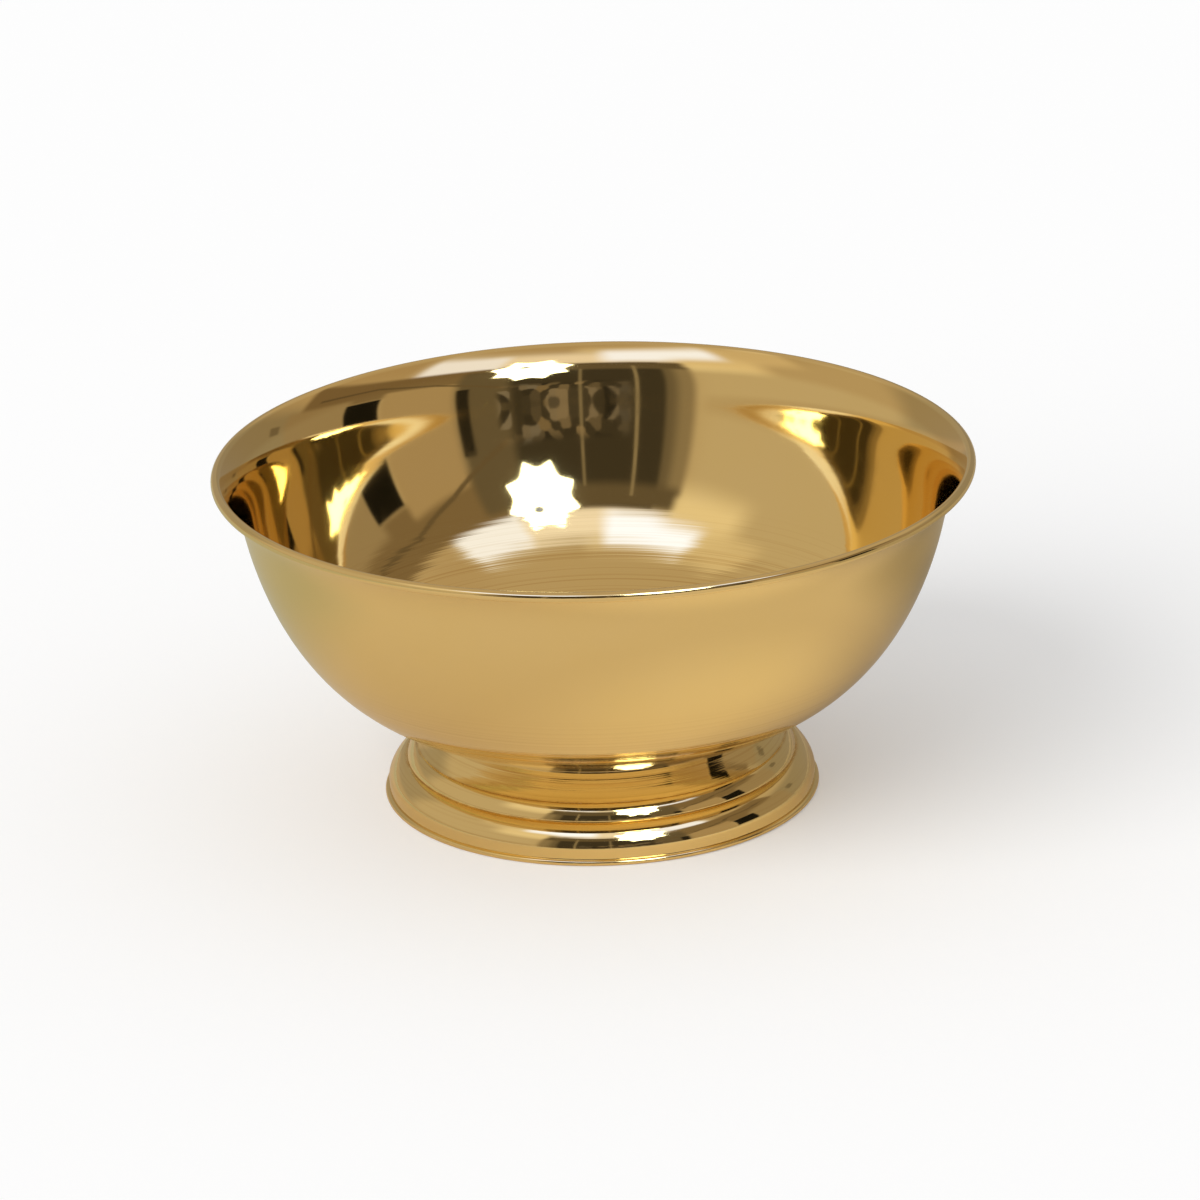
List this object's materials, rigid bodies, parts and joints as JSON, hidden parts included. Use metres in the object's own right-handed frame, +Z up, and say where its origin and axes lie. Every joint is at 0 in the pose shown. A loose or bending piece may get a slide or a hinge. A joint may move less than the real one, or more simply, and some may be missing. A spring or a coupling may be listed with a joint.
{
  "type": "lavabo bowl",
  "caption": "Footed hand-washing bowl of spun, gold-plated brass: a deep round bowl with a turned-out lip rolled over a wire, soldered to a hollow foot with a flared neck, a rounded bead and a full base.",
  "frame": {"origin": "centre of the foot's standing face, on the axis of the bowl", "axes": "+Z up along the axis of the bowl; the bowl is round, so +X and +Y are any two directions square to it, and the picture looks along +Y"},
  "size_m": [0.1782, 0.1782, 0.0811],
  "materials": {
    "gold_plate": "mirror-polished gold plate on spun brass, with faint hairline scratches",
    "ring_brass": "turned and lapped, thinly plated, satin",
    "wire_brass": "bare drawn wire, hidden in the lip",
    "solder": "plated solder, soft sheen"
  },
  "bodies": {
    "root": {"bowl_shell": "gold_plate", "lip_wire": "wire_brass", "foot_shell": "gold_plate", "neck_bead": "gold_plate", "foot_ring": "ring_brass", "foot_ring_solder": "solder", "seat_solder": "solder"}
  },
  "joints": []
}
